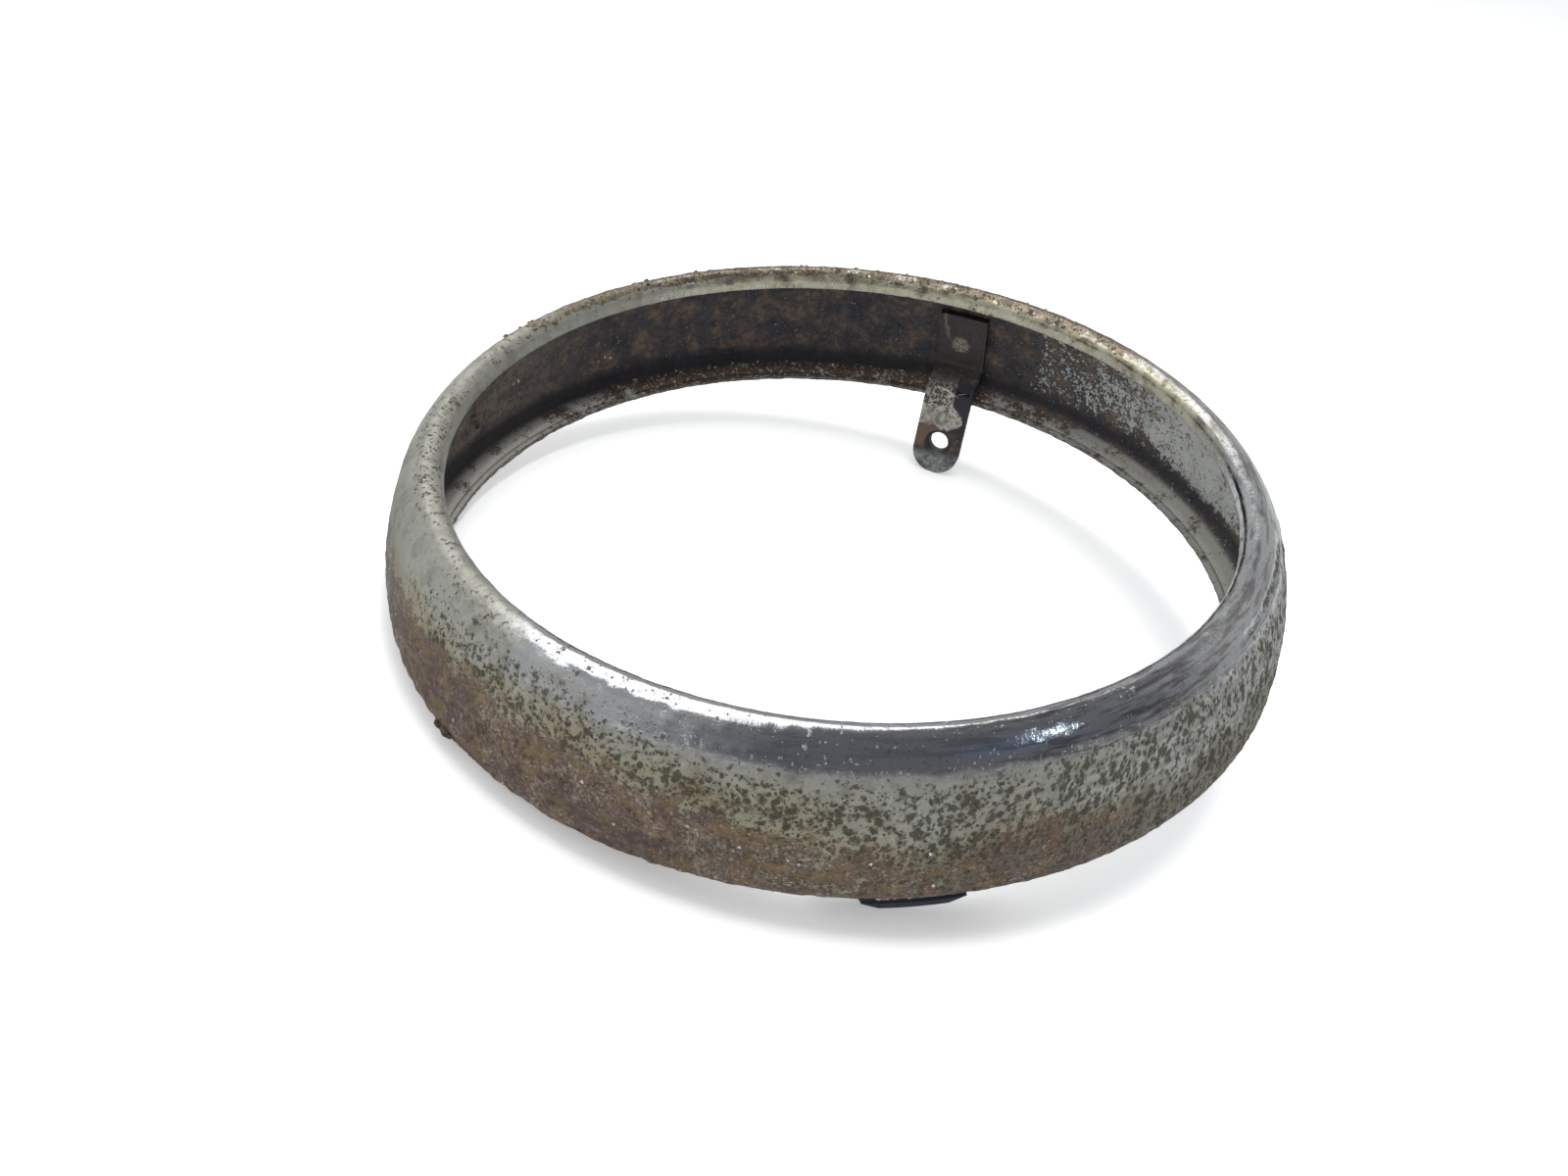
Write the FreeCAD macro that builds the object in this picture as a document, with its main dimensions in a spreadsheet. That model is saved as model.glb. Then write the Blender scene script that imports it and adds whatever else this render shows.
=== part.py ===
import FreeCAD, Part
import math
import os

import Sketcher

# A chromed headlight surround: a pressed rim with a strap lug and a hook plate spot-welded inside it.
# Millimetres. The rim's axis is Z and its front lip faces +Z. The lug lies on +Y.
# The origin is on the axis, level with the lug's tip, which is the lowest point.
# Heights among the sizes are measured up from the rim's rear seat, drops and reaches down from it.
sizes = {
    # rim, outside form
    "rimRadius": 90.2,
    "rimHeight": 32.0,
    "rimGauge": 0.8,
    "lipInset": 12.8,
    "lipSkirt": 1.6,
    "lipRollRadius": 2.7,
    "shoulderRadius": 12.0,
    "shoulderTurn": 48.0,
    # rim, rear flange
    "curlRadius": 5.2,
    "seatStep": 0.9,
    "stepRun": 1.3,
    "seatBand": 1.5,
    # how the strap and the plate sit in the rim
    "weldGap": 0.05,
    "flangeGap": 0.1,
    "weldMarkRadius": 2.0,
    "weldMarkDepth": 0.3,
    # fixing lug
    "lugGauge": 1.5,
    "lugWidth": 12.2,
    "lugTop": 22.0,
    "lugKnee": 7.6,
    "lugKneeBend": 2.6,
    "lugHeel": 1.3,
    "lugHeelBend": 1.2,
    "lugSlope": 10.0,
    "lugLean": 2.0,
    "lugEndDrop": 13.4,
    "lugWeldHeight": 14.5,
    "screwBore": 5.0,
    "screwDrop": 11.4,
    "eyeletWall": 0.9,
    "eyeletReach": 1.3,
    "eyeletMouth": 0.8,
    "lanceWidth": 4.6,
    "lanceRise": 1.0,
    "lanceInset": 0.3,
    "lanceHeight": 2.4,
    "lanceOffset": 3.0,
    # hook plate
    "plateAngle": 148.5,
    "plateGauge": 1.2,
    "plateWidth": 34.0,
    "plateTop": 19.0,
    "plateKnee": 7.6,
    "plateKneeBend": 2.4,
    "plateHeel": 1.8,
    "plateHeelBend": 1.2,
    "plateReach": 6.6,
    "tailWidth": 12.0,
    "tailRise": 4.2,
    "hookBend": 0.8,
    "hookLip": 0.4,
    "plateWeldSpacing": 17.0,
    "plateWeldHeight": 13.5,
}

doc = FreeCAD.newDocument("HeadlightSurround")
sheet = doc.addObject("Spreadsheet::Sheet", "sizes")
for row, (alias, value) in enumerate(sizes.items(), start=1):
    sheet.set("A%d" % row, alias)
    sheet.set("B%d" % row, str(value))
    sheet.setAlias("B%d" % row, alias)
doc.recompute()

axisX = FreeCAD.Vector(1, 0, 0)
axisY = FreeCAD.Vector(0, 1, 0)
axisZ = FreeCAD.Vector(0, 0, 1)
origin = FreeCAD.Vector(0, 0, 0)


def onCircle(centre, radius, angle):
    return centre[0] + radius * math.cos(angle), centre[1] + radius * math.sin(angle)


def crossTangent(centreA, radiusA, centreB, radiusB):
    # The normal angle at A of the line that leaves circle A and swings round to the far side of circle B.
    span = math.dist(centreA, centreB)
    heading = math.atan2(centreB[1] - centreA[1], centreB[0] - centreA[0])
    return heading + math.acos((radiusA + radiusB) / span)


def evaluate(formula):
    return float(sheet.evalExpression(formula))


class Path:
    # A run of lines and arcs in one sketch, each tangent to the one before it or meeting it at a corner.

    def __init__(self, name, turn):
        self.sketch = doc.addObject("Sketcher::SketchObject", name)
        self.sketch.Placement = FreeCAD.Placement(origin, turn)
        self.last = None

    def join(self, index, start, end, kind):
        if self.last:
            self.sketch.addConstraint(Sketcher.Constraint(kind, self.last[0], self.last[1], index, start))
        self.last = (index, end)
        return index

    def line(self, start, end, kind="Tangent"):
        points = [FreeCAD.Vector(x, y, 0) for x, y in (start, end)]
        return self.join(self.sketch.addGeometry(Part.LineSegment(*points)), 1, 2, kind)

    def arc(self, centre, radius, start, end, kind="Tangent"):
        # Angles in radians; the run goes clockwise where end is less than start.
        circle = Part.Circle(FreeCAD.Vector(centre[0], centre[1], 0), axisZ, radius)
        index = self.sketch.addGeometry(Part.ArcOfCircle(circle, min(start, end), max(start, end)))
        ends = (1, 2) if end > start else (2, 1)
        return self.join(index, ends[0], ends[1], kind)

    def fix(self, kind, parts, formula):
        index = self.sketch.addConstraint(Sketcher.Constraint(kind, *parts, evaluate(formula)))
        self.sketch.setExpression("Constraints[%d]" % index, formula)

    def rule(self, kind, *parts):
        self.sketch.addConstraint(Sketcher.Constraint(kind, *parts))


def make(kind, name, **bound):
    # A feature whose named properties follow formulas on the sheet.
    thing = doc.addObject(kind, name)
    for path, formula in bound.items():
        thing.setExpression(path.replace("__", "."), formula)
    return thing


def sectionOf(path, name, offset):
    # The sheet's cut face: the path is its outer face, and the gauge is laid on the axis side.
    section = make("Part::Offset2D", name, Value=offset)
    section.Source = path.sketch
    section.Mode = "Skin"
    section.Join = "Intersection"
    section.Fill = True
    return section


def turned(section, name, **bound):
    # The section turned about the rim's axis, whole unless an Angle is bound.
    solid = make("Part::Revolution", name, **bound)
    solid.Source = section
    solid.Axis = axisZ
    solid.Solid = True
    solid.Symmetric = True
    return solid


def joined(kind, name, base, tool):
    solid = doc.addObject(kind, name)
    solid.Base = base
    solid.Tool = tool
    return solid


# Derived lengths, as formulas. The wall is the arc that joins the shoulder to the curl without a kink.
lipRadius = "(sizes.rimRadius - sizes.lipInset)"
flangeRadius = "(sizes.rimRadius - sizes.curlRadius - sizes.stepRun - sizes.seatBand)"
shoulderRise = "((sizes.shoulderRadius - sizes.lipRollRadius) * sin(sizes.shoulderTurn * 1 deg))"
shoulderRun = "((sizes.shoulderRadius - sizes.lipRollRadius) * cos(sizes.shoulderTurn * 1 deg))"
wallCentreZ = "(sizes.seatStep + sizes.curlRadius)"
shoulderIn = "(sizes.lipInset - sizes.lipRollRadius + %s)" % shoulderRun
shoulderUp = "(sizes.rimHeight - sizes.lipRollRadius - %s - %s)" % (shoulderRise, wallCentreZ)
wallSpan = "(%s ^ 2 + %s ^ 2 - sizes.shoulderRadius ^ 2)" % (shoulderIn, shoulderUp)
wallRadius = "(%s / 2 / (%s - sizes.shoulderRadius))" % (wallSpan, shoulderIn)
wallCentreX = "(sizes.rimRadius - %s)" % wallRadius
weldFace = "(%s - sizes.rimGauge - sizes.weldGap)" % wallRadius
strapEdge = "(%s - sizes.flangeGap)" % flangeRadius
seatHeight = "(sizes.lugEndDrop + sizes.lugWidth / 2)"
lugSlope = "(sizes.lugSlope * 1 deg)"
lugLean = "(sizes.lugLean * 1 deg)"
upright = FreeCAD.Rotation(axisX, 90)
crosswise = FreeCAD.Rotation(FreeCAD.Vector(1, 1, 1), 120)


# Rim. One turned section, from the raw edge of the lip over the shoulder and round to the rear flange.
def buildRim():
    rollRadius = sizes["lipRollRadius"]
    curlRadius = sizes["curlRadius"]
    seatStep = sizes["seatStep"]
    lipEdge = evaluate(lipRadius)
    flangeEdge = evaluate(flangeRadius)
    seatEdge = flangeEdge + sizes["seatBand"]
    rollCentre = (lipEdge + rollRadius, sizes["rimHeight"] - rollRadius)
    wallCentre = (evaluate(wallCentreX), evaluate(wallCentreZ))
    curlCentre = (sizes["rimRadius"] - curlRadius, seatStep + curlRadius)
    shoulderCentre = (rollCentre[0] - evaluate(shoulderRun), rollCentre[1] - evaluate(shoulderRise))
    shoulderEnd = math.radians(sizes["shoulderTurn"])
    wallEnd = math.atan2(shoulderCentre[1] - wallCentre[1], shoulderCentre[0] - wallCentre[0])

    path = Path("rimPath", upright)
    skirt = path.line((lipEdge, rollCentre[1] - sizes["lipSkirt"]), (lipEdge, rollCentre[1]))
    roll = path.arc(rollCentre, rollRadius, math.pi, shoulderEnd)
    shoulder = path.arc(shoulderCentre, sizes["shoulderRadius"], shoulderEnd, wallEnd)
    wall = path.arc(wallCentre, evaluate(wallRadius), wallEnd, 0)
    curl = path.arc(curlCentre, curlRadius, 0, -math.pi / 2)
    step = path.line((curlCentre[0], seatStep), (seatEdge, 0), "Coincident")
    seat = path.line((seatEdge, 0), (flangeEdge, 0), "Coincident")

    path.rule("Vertical", skirt)
    path.rule("Horizontal", wall, 3, wall, 1)
    path.rule("Vertical", curl, 3, curl, 1)
    path.rule("Horizontal", seat)
    path.rule("PointOnObject", seat, 2, -1)
    path.fix("DistanceX", (-1, 1, skirt, 1), lipRadius)
    path.fix("DistanceY", (skirt, 1, skirt, 2), "sizes.lipSkirt")
    path.fix("Radius", (roll,), "sizes.lipRollRadius")
    path.fix("DistanceY", (-1, 1, roll, 3), "sizes.rimHeight - sizes.lipRollRadius")
    path.fix("Radius", (shoulder,), "sizes.shoulderRadius")
    path.fix("DistanceY", (shoulder, 3, roll, 3), shoulderRise)
    path.fix("DistanceX", (-1, 1, wall, 1), "sizes.rimRadius")
    path.fix("Radius", (curl,), "sizes.curlRadius")
    path.fix("DistanceY", (-1, 1, curl, 1), "sizes.seatStep")
    path.fix("DistanceX", (step, 2, step, 1), "sizes.stepRun")
    path.fix("DistanceX", (seat, 2, seat, 1), "sizes.seatBand")

    section = sectionOf(path, "rimSection", "-sizes.rimGauge")
    rim = turned(section, "rim", Placement__Base__z=seatHeight)
    rim.Angle = 360
    return rim


# The lug and the plate are drawn where a strap on +X would lie, with Z = 0 at the rim's rear seat, and are
# turned to their places afterwards.
# Both run alike: a straight leg against the wall, a knee, in across the flange and round a heel. The leg
# touches the wall at its top edge and at the knee.
def legTop(piece):
    return "(%s + sqrt(%s ^ 2 - (sizes.%sTop - %s) ^ 2))" % (wallCentreX, weldFace, piece, wallCentreZ)


def kneeCentreX(piece):
    reach = "(%s - sizes.%sKneeBend)" % (weldFace, piece)
    return "(%s + sqrt(%s ^ 2 - (sizes.%sKnee - %s) ^ 2))" % (wallCentreX, reach, piece, wallCentreZ)


def strapPath(piece, slope):
    kneeBend = sizes[piece + "KneeBend"]
    heelBend = sizes[piece + "HeelBend"]
    top = (evaluate(legTop(piece)), sizes[piece + "Top"])
    kneeCentre = (evaluate(kneeCentreX(piece)), sizes[piece + "Knee"])
    heelEnd = (evaluate(strapEdge), sizes[piece + "Heel"])
    heelCentre = (heelEnd[0] + heelBend * math.cos(slope), heelEnd[1] - heelBend * math.sin(slope))
    toTop = math.atan2(top[1] - kneeCentre[1], top[0] - kneeCentre[0])
    kneeStart = toTop - math.acos(kneeBend / math.dist(top, kneeCentre))
    kneeEnd = crossTangent(kneeCentre, kneeBend, heelCentre, heelBend)

    path = Path(piece + "Path", upright)
    leg = path.line(top, onCircle(kneeCentre, kneeBend, kneeStart))
    knee = path.arc(kneeCentre, kneeBend, kneeStart, kneeEnd)
    path.line(onCircle(kneeCentre, kneeBend, kneeEnd), onCircle(heelCentre, heelBend, kneeEnd + math.pi))
    heel = path.arc(heelCentre, heelBend, kneeEnd + math.pi, math.pi - slope)
    path.fix("DistanceX", (-1, 1, leg, 1), legTop(piece))
    path.fix("DistanceY", (-1, 1, leg, 1), "sizes.%sTop" % piece)
    path.fix("DistanceX", (-1, 1, knee, 3), kneeCentreX(piece))
    path.fix("DistanceY", (-1, 1, knee, 3), "sizes.%sKnee" % piece)
    path.fix("Radius", (knee,), "sizes.%sKneeBend" % piece)
    path.fix("Radius", (heel,), "sizes.%sHeelBend" % piece)
    path.fix("DistanceX", (-1, 1, heel, 2), strapEdge)
    path.fix("DistanceY", (-1, 1, heel, 2), "sizes.%sHeel" % piece)
    return path, heelEnd


def pressing(piece, path, outline):
    # The sheet bent to the path and round the rim's axis, trimmed to the outline seen from the axis.
    section = sectionOf(path, piece + "Section", "-sizes.%sGauge" % piece)
    sweep = "2 * asin(sizes.%sWidth / %s)" % (piece, flangeRadius)
    sheetSolid = turned(section, piece + "Sheet", Angle=sweep)
    blank = make("Part::Extrusion", piece + "Blank", LengthFwd="sizes.rimRadius")
    blank.Base = outline.sketch
    blank.DirMode = "Custom"
    blank.Dir = axisX
    blank.Solid = True
    return joined("Part::Common", piece + "Pressing", sheetSolid, blank)


def weldMark(piece, name, side):
    # The shallow cap that the welding tip leaves in the leg's face on the axis side.
    foot = "(%s + sizes.%sKneeBend)" % (kneeCentreX(piece), piece)
    climb = "(sizes.%sTop - sizes.%sKnee)" % (piece, piece)
    tilt = "atan((%s - %s) / %s)" % (foot, legTop(piece), climb)
    radius = "((sizes.weldMarkRadius ^ 2 / sizes.weldMarkDepth + sizes.weldMarkDepth) / 2)"
    inset = "(sizes.%sGauge - sizes.weldMarkDepth + %s)" % (piece, radius)
    rise = "(sizes.%sWeldHeight - sizes.%sKnee)" % (piece, piece)
    reach = "(%s - %s * tan(%s) - %s * cos(%s))" % (foot, rise, tilt, inset, tilt)
    place = {
        "Placement__Base__x": "%s * cos(%s)" % (reach, side),
        "Placement__Base__y": "%s * sin(%s)" % (reach, side),
        "Placement__Base__z": "sizes.%sWeldHeight - %s * sin(%s)" % (piece, inset, tilt),
    }
    return make("Part::Sphere", name, Radius=radius, **place)


def finished(piece, label, solid, cutters, turn):
    tool = doc.addObject("Part::MultiFuse", piece + "Cuts")
    tool.Shapes = cutters
    whole = joined("Part::Cut", piece, solid, tool)
    whole.Label = label
    whole.setExpression("Placement.Base.z", seatHeight)
    whole.setExpression("Placement.Rotation.Angle", turn)
    return whole


# Fixing lug. A narrow strap with a round end and an eyelet drawn outwards for the fixing screw.
def lugOutline():
    half = sizes["lugWidth"] / 2
    lean = math.radians(sizes["lugLean"])
    heel = sizes["lugHeel"]
    top = sizes["lugTop"] + half
    endCentre = ((heel + sizes["lugEndDrop"]) * math.tan(lean), -sizes["lugEndDrop"])
    kink = half * math.tan(lean / 2)
    outline = Path("lugOutline", crosswise)
    left = outline.line((-half, top), (-half, heel - kink))
    leftEnd = outline.line((-half, heel - kink), onCircle(endCentre, half, math.pi + lean), "Coincident")
    end = outline.arc(endCentre, half, math.pi + lean, 2 * math.pi + lean)
    rightEnd = outline.line(onCircle(endCentre, half, lean), (half, heel + kink))
    right = outline.line((half, heel + kink), (half, top), "Coincident")
    over = outline.line((half, top), (-half, top), "Coincident")
    outline.rule("Coincident", over, 2, left, 1)
    outline.rule("Vertical", left)
    outline.rule("Vertical", right)
    outline.rule("Horizontal", over)
    outline.rule("Parallel", leftEnd, rightEnd)
    outline.fix("DistanceX", (left, 1, -1, 1), "sizes.lugWidth / 2")
    outline.fix("DistanceX", (-1, 1, right, 2), "sizes.lugWidth / 2")
    outline.fix("DistanceY", (-1, 1, right, 2), "sizes.lugTop + sizes.lugWidth / 2")
    outline.fix("Radius", (end,), "sizes.lugWidth / 2")
    outline.fix("DistanceX", (-1, 1, end, 3), "(sizes.lugHeel + sizes.lugEndDrop) * tan(%s)" % lugLean)
    outline.fix("DistanceY", (end, 3, -1, 1), "sizes.lugEndDrop")
    outline.fix("DistanceY", (-1, 1, left, 2), "sizes.lugHeel - sizes.lugWidth / 2 * tan(%s / 2)" % lugLean)
    return outline


def onBore(kind, name, reach, **bound):
    # A round form on the screw's axis, reach millimetres outwards from the strap's outer face.
    drop = "(sizes.lugHeel + sizes.screwDrop)"
    face = "%s - %s * tan(%s)" % (strapEdge, drop, lugSlope)
    form = make(kind, name, **bound)
    form.Placement = FreeCAD.Placement(origin, FreeCAD.Rotation(axisY, 90))
    form.setExpression("Placement.Rotation.Angle", "90 + sizes.lugSlope")
    form.setExpression("Placement.Base.x", "%s + (%s) * cos(%s)" % (face, reach, lugSlope))
    form.setExpression("Placement.Base.y", "%s * tan(%s)" % (drop, lugLean))
    form.setExpression("Placement.Base.z", "-sizes.screwDrop - (%s) * sin(%s)" % (reach, lugSlope))
    return form


def buildLug():
    slope = math.radians(sizes["lugSlope"])
    path, heelEnd = strapPath("lug", slope)
    drop = sizes["lugHeel"] + sizes["lugEndDrop"] + sizes["lugWidth"]
    tail = path.line(heelEnd, (heelEnd[0] - drop * math.tan(slope), heelEnd[1] - drop))
    length = "(sizes.lugHeel + sizes.lugEndDrop + sizes.lugWidth)"
    path.fix("DistanceY", (tail, 2, tail, 1), length)
    path.fix("DistanceX", (tail, 2, tail, 1), "%s * tan(%s)" % (length, lugSlope))
    strap = pressing("lug", path, lugOutline())

    collar = onBore("Part::Cylinder", "eyelet", "-sizes.lugGauge / 2",
                    Radius="sizes.screwBore / 2 + sizes.eyeletWall",
                    Height="sizes.lugGauge / 2 + sizes.eyeletReach")
    drawn = joined("Part::Fuse", "lugDrawn", strap, collar)

    behind = "-sizes.lugGauge - sizes.eyeletMouth"
    bore = onBore("Part::Cylinder", "screwBore", behind, Radius="sizes.screwBore / 2",
                  Height="sizes.lugGauge + sizes.eyeletReach + 2 * sizes.eyeletMouth")
    mouth = onBore("Part::Cone", "screwMouth", behind, Radius2="sizes.screwBore / 2",
                   Radius1="sizes.screwBore / 2 + 2 * sizes.eyeletMouth", Height="2 * sizes.eyeletMouth")
    lance = make("Part::Box", "lance",
                 Length="2 * sizes.lugGauge", Width="sizes.lanceWidth", Height="sizes.lanceRise",
                 Placement__Base__x=strapEdge + " - sizes.lanceInset - 2 * sizes.lugGauge",
                 Placement__Base__y="-sizes.lanceOffset - sizes.lanceWidth / 2",
                 Placement__Base__z="sizes.lanceHeight")
    mark = weldMark("lug", "lugMark", "0 deg")
    return finished("lug", "fixing_lug", drawn, [bore, mouth, lance, mark], "90")


# Hook plate. A wide strap whose tail tapers to a hook turned outwards.
def plateOutline():
    outline = Path("plateOutline", crosswise)
    half = "sizes.plateWidth / 2"
    tail = "sizes.tailWidth / 2"
    top = "sizes.plateTop + sizes.plateWidth / 2"
    taper = "sizes.tailRise - sizes.plateReach"
    bottom = "-sizes.plateReach - sizes.plateGauge"
    right = [(half, top), (half, taper), (tail, "-sizes.plateReach"), (tail, bottom)]
    corners = right + [("-" + across, height) for across, height in reversed(right)]
    places = [(evaluate(across), evaluate(height)) for across, height in corners]
    lines = [outline.line(places[i - 1], places[i], "Coincident") for i in range(len(places))]
    outline.rule("Coincident", lines[-1], 2, lines[0], 1)
    for line, (across, height) in zip(lines, corners):
        outline.fix("DistanceX", (-1, 1, line, 2), across)
        outline.fix("DistanceY", (-1, 1, line, 2), height)
    return outline


def buildPlate():
    path, heelEnd = strapPath("plate", 0)
    hookBend = sizes["hookBend"]
    lipHeight = sizes["plateGauge"] - sizes["plateReach"]
    hookCentre = (heelEnd[0] + hookBend, lipHeight + hookBend)
    tail = path.line(heelEnd, (heelEnd[0], hookCentre[1]))
    hook = path.arc(hookCentre, hookBend, math.pi, 3 * math.pi / 2)
    lip = path.line((hookCentre[0], lipHeight), (hookCentre[0] + sizes["hookLip"], lipHeight))
    path.rule("Vertical", tail)
    path.rule("Horizontal", lip)
    path.fix("Radius", (hook,), "sizes.hookBend")
    path.fix("DistanceY", (lip, 1, -1, 1), "sizes.plateReach - sizes.plateGauge")
    path.fix("DistanceX", (lip, 1, lip, 2), "sizes.hookLip")
    sheetMetal = pressing("plate", path, plateOutline())
    aside = "asin(sizes.plateWeldSpacing / 2 / %s)" % flangeRadius
    marks = [weldMark("plate", "plateMarkLeft", "-" + aside), weldMark("plate", "plateMarkRight", aside)]
    return finished("plate", "hook_plate", sheetMetal, marks, "90 - sizes.plateAngle")


pieces = [buildRim(), buildLug(), buildPlate()]
doc.recompute()

for thing in doc.Objects:
    if "Invalid" in thing.State or "Error" in thing.State:
        raise RuntimeError("%s didn't build: %s" % (thing.Name, thing.State))
for piece in pieces:
    if piece.Shape.isNull() or not piece.Shape.isValid() or len(piece.Shape.Solids) != 1:
        raise RuntimeError("%s isn't one sound solid" % piece.Label)

os.makedirs("parts", exist_ok=True)
for piece in pieces:
    piece.Shape.exportStep("parts/%s.step" % piece.Label)
    print(piece.Label, "%.1f mm3" % piece.Shape.Volume)
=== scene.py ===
import math

import bmesh
import bpy
import numpy as np
from mathutils import Matrix, Vector, noise


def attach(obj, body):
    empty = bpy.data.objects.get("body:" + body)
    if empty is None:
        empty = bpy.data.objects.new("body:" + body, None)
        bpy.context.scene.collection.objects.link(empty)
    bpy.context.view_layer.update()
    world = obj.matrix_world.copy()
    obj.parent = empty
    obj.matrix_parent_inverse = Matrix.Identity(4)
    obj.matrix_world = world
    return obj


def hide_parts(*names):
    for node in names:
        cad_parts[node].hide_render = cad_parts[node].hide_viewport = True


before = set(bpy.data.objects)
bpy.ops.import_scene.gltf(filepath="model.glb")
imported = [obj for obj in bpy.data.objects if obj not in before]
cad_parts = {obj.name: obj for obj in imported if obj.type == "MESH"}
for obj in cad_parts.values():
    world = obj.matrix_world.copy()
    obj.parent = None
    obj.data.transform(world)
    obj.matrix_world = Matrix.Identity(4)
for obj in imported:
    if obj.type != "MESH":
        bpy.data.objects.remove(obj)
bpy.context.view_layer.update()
print("frame loaded:", ", ".join(sorted(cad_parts)))

mm = 0.001


# Shader helpers: a socket with arithmetic, and one method that adds any node
class Value:
    def __init__(self, board, socket):
        self.board = board
        self.socket = socket

    def sum(self, operation, first, second=0.0, clamp=False):
        settings = {"operation": operation, "use_clamp": clamp}
        return self.board.add("ShaderNodeMath", settings, {0: first, 1: second})

    def __add__(self, other):
        return self.sum("ADD", self, other)

    __radd__ = __add__

    def __sub__(self, other):
        return self.sum("SUBTRACT", self, other)

    def __rsub__(self, other):
        return self.sum("SUBTRACT", other, self)

    def __mul__(self, other):
        return self.sum("MULTIPLY", self, other)

    __rmul__ = __mul__

    def atLeast(self, other):
        return self.sum("MAXIMUM", self, other)

    def held(self):
        return self.sum("ADD", self, 0.0, clamp=True)

    # 0 below low, 1 above high, smooth between; low may be the larger
    def rise(self, low, high):
        settings = {"interpolation_type": "SMOOTHSTEP"}
        sockets = {"Value": self, "From Min": low, "From Max": high}
        return self.board.add("ShaderNodeMapRange", settings, sockets)


class Board:
    def __init__(self, tree):
        self.tree = tree
        self.tree.nodes.clear()

    def add(self, kind, settings, sockets, out=0):
        node = self.tree.nodes.new(kind)
        for name, value in settings.items():
            if name == "stops":
                self.stops(node.color_ramp, value)
            else:
                setattr(node, name, value)
        for name, value in sockets.items():
            self.feed(node.inputs[name], value)
        return Value(self, node.outputs[out])

    def feed(self, socket, value):
        if isinstance(value, Value):
            self.tree.links.new(value.socket, socket)
        else:
            socket.default_value = value

    def stops(self, ramp, stops):
        while len(ramp.elements) < len(stops):
            ramp.elements.new(1.0)
        for element, (place, colour) in zip(ramp.elements, stops):
            element.position = place
            element.color = colour

    def other(self, value, out):
        return Value(self, value.socket.node.outputs[out])

    def place(self):
        return self.add("ShaderNodeTexCoord", {}, {}, "Object")

    def wear(self, name):
        settings = {"attribute_name": name}
        return self.add("ShaderNodeAttribute", settings, {}, "Fac")

    def scaled(self, vector, factors):
        settings = {"operation": "MULTIPLY"}
        return self.add("ShaderNodeVectorMath", settings, {0: vector, 1: factors})

    def shifted(self, vector, offset):
        settings = {"operation": "ADD"}
        return self.add("ShaderNodeVectorMath", settings, {0: vector, 1: offset})

    # grain is the size of one feature in millimetres
    def cloud(self, vector, grain, detail=3.0, rough=0.55):
        sockets = {"Vector": vector, "Scale": 1.0 / (grain * mm)}
        sockets.update({"Detail": detail, "Roughness": rough})
        return self.add("ShaderNodeTexNoise", {}, sockets, "Fac")

    def cells(self, vector, grain):
        sockets = {"Vector": vector, "Scale": 1.0 / (grain * mm)}
        return self.add("ShaderNodeTexVoronoi", {}, sockets, "Distance")

    def ramp(self, value, stops):
        return self.add("ShaderNodeValToRGB", {"stops": stops}, {"Fac": value})

    def blend(self, share, first, second):
        return self.add("ShaderNodeMix", {"data_type": "RGBA"}, {0: share, 6: first, 7: second}, 2)

    # depth is in millimetres
    def relief(self, height, depth):
        return self.add("ShaderNodeBump", {}, {"Height": height, "Distance": depth * mm}, "Normal")


class Finish(Board):
    def __init__(self, name):
        self.material = bpy.data.materials.new(name)
        self.material.use_nodes = True
        super().__init__(self.material.node_tree)

    def surface(self, **sockets):
        named = {key.replace("_", " "): value for key, value in sockets.items()}
        shader = self.add("ShaderNodeBsdfPrincipled", {}, named)
        self.finishWith(shader)
        return self.material

    def finishWith(self, shader):
        output = self.tree.nodes.new("ShaderNodeOutputMaterial")
        self.tree.links.new(shader.socket, output.inputs["Surface"])


# a colour as read from a picture, 0 to 255, as the shader wants it
def tint(red, green, blue, strength=1.0):
    channels = []
    for level in (red, green, blue):
        share = level / 255
        plain = share / 12.92 if share <= 0.04045 else ((share + 0.055) / 1.055) ** 2.4
        channels.append(plain * strength)
    return (*channels, 1.0)


# Camera
cameraSet = {
    "place": (0.07102, -0.21743, 0.19313),
    "lookAt": (0.00031, -0.02884, 0.0355),
    "lean": 4.29,
    "lens": 31.12,
    "sensor": 36.0,
}


def makeCamera():
    data = bpy.data.cameras.new("camera")
    data.lens = cameraSet["lens"]
    data.sensor_width = cameraSet["sensor"]
    data.clip_start = 0.01
    camera = bpy.data.objects.new("camera", data)
    bpy.context.scene.collection.objects.link(camera)
    place = Vector(cameraSet["place"])
    aim = (Vector(cameraSet["lookAt"]) - place).to_track_quat("-Z", "Y")
    lean = Matrix.Rotation(math.radians(cameraSet["lean"]), 4, "Z")
    camera.matrix_world = Matrix.Translation(place) @ aim.to_matrix().to_4x4() @ lean
    bpy.context.scene.camera = camera


makeCamera()


# Floor: the ring leans on its lug, its plate and its own edge, so in the ring's frame the floor slopes
floorSet = {
    "height": 8.227 * mm,
    "slopeX": -0.0828,
    "slopeY": -0.1064,
    "reach": 4.0,
    "shade": tint(226, 228, 230),
    "seenShade": tint(250, 251, 252),
    "mirrored": tint(206, 208, 209),
    "whiten": 0.3,
}


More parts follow.
